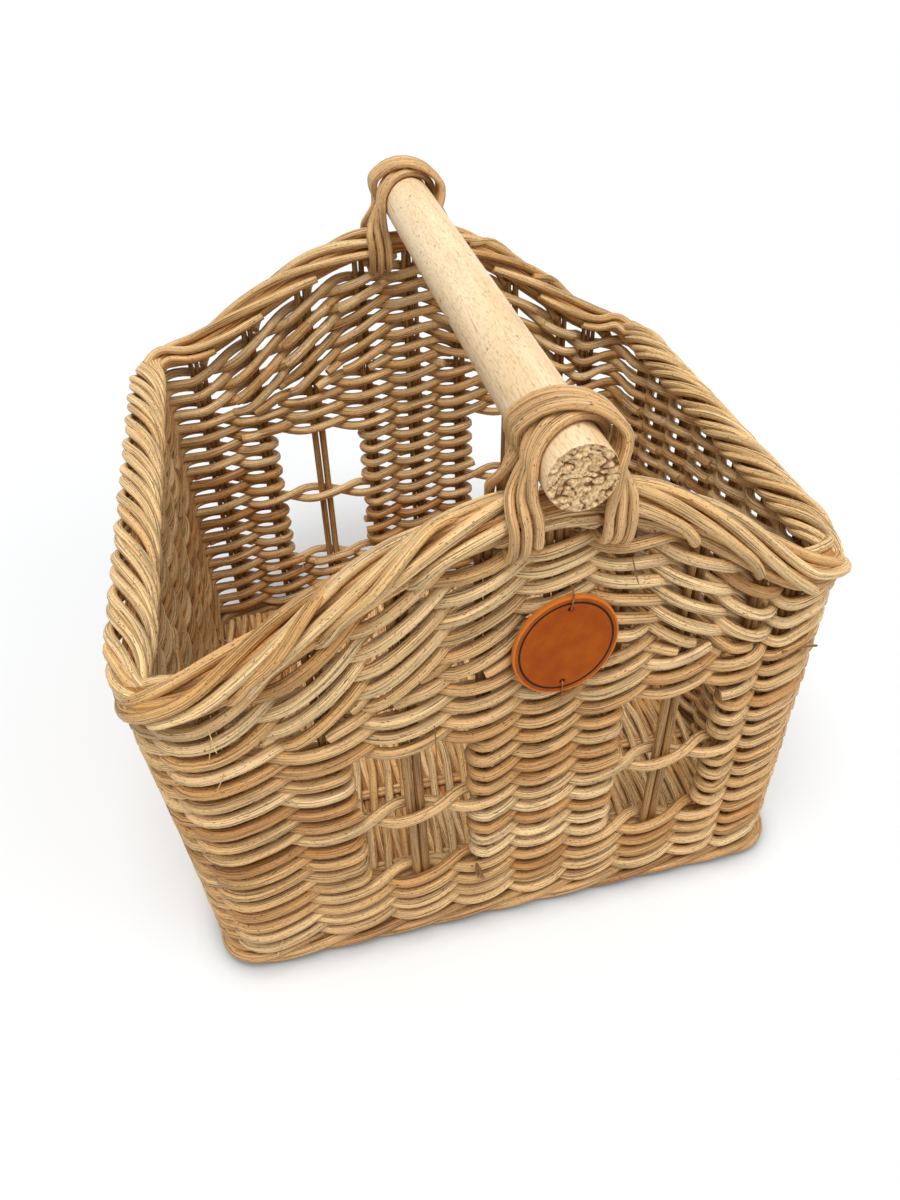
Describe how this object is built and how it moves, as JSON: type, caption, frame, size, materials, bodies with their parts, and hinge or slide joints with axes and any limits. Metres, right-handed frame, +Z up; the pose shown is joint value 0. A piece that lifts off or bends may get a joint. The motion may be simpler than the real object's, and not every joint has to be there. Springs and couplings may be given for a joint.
{
  "type": "rattan basket",
  "caption": "Open woven rattan basket shaped like a small house, with gable ends, cross-barred window openings, a flat base and a wooden pole over the peaks as its handle.",
  "frame": {"origin": "middle of the object's box in plan, on the surface it stands on", "axes": "+Z up, +X to the right seen from the front wall that has the leather tag, which faces -Y; the handle pole runs along Y"},
  "size_m": [0.4154, 0.4054, 0.3904],
  "materials": {
    "weave": "natural round cane, satin, with darker streaks",
    "stake": "thinner natural canes, matt",
    "border": "natural round cane laid diagonally, satin",
    "foot": "darker cane laid like a rope, satin",
    "base": "natural round cane, matt",
    "pole": "peeled pole, smooth, with fine streaks and a rough sawn end",
    "lashing": "tan cane, satin",
    "leather": "smooth tan leather with a paler cut edge",
    "wire": "thin brown coated wire"
  },
  "bodies": {
    "root": {"front_stake_1": "stake", "front_stake_2": "stake", "front_stake_3": "stake", "front_stake_4": "stake", "front_stake_5": "stake", "front_stake_6": "stake", "front_stake_7": "stake", "front_stake_8": "stake", "front_stake_9": "stake", "right_stake_1": "stake", "right_stake_2": "stake", "right_stake_3": "stake", "right_stake_4": "stake", "right_stake_5": "stake", "right_stake_6": "stake", "right_stake_7": "stake", "back_stake_1": "stake", "back_stake_2": "stake", "back_stake_3": "stake", "back_stake_4": "stake", "back_stake_5": "stake", "back_stake_6": "stake", "back_stake_7": "stake", "back_stake_8": "stake", "back_stake_9": "stake", "left_stake_1": "stake", "left_stake_2": "stake", "left_stake_3": "stake", "left_stake_4": "stake", "left_stake_5": "stake", "left_stake_6": "stake", "left_stake_7": "stake", "lower_weave": "weave", "right_weave": "weave", "left_weave": "weave", "front_pier_weave": "weave", "back_pier_weave": "weave", "upper_weave": "weave", "front_rim": "border", "right_rim": "border", "back_rim": "border", "left_rim": "border", "foot_border": "foot", "base_mat": "base", "base_stick_1": "base", "base_stick_2": "base", "base_stick_3": "base", "base_stick_4": "base", "base_stick_5": "base", "front_left_window_bar": "weave", "front_right_window_bar": "weave", "back_left_window_bar": "weave", "back_right_window_bar": "weave", "handle_pole": "pole", "front_lashing": "lashing", "back_lashing": "lashing", "leather_tag": "leather", "tag_tie_upper": "wire", "tag_tie_lower": "wire"}
  },
  "joints": []
}
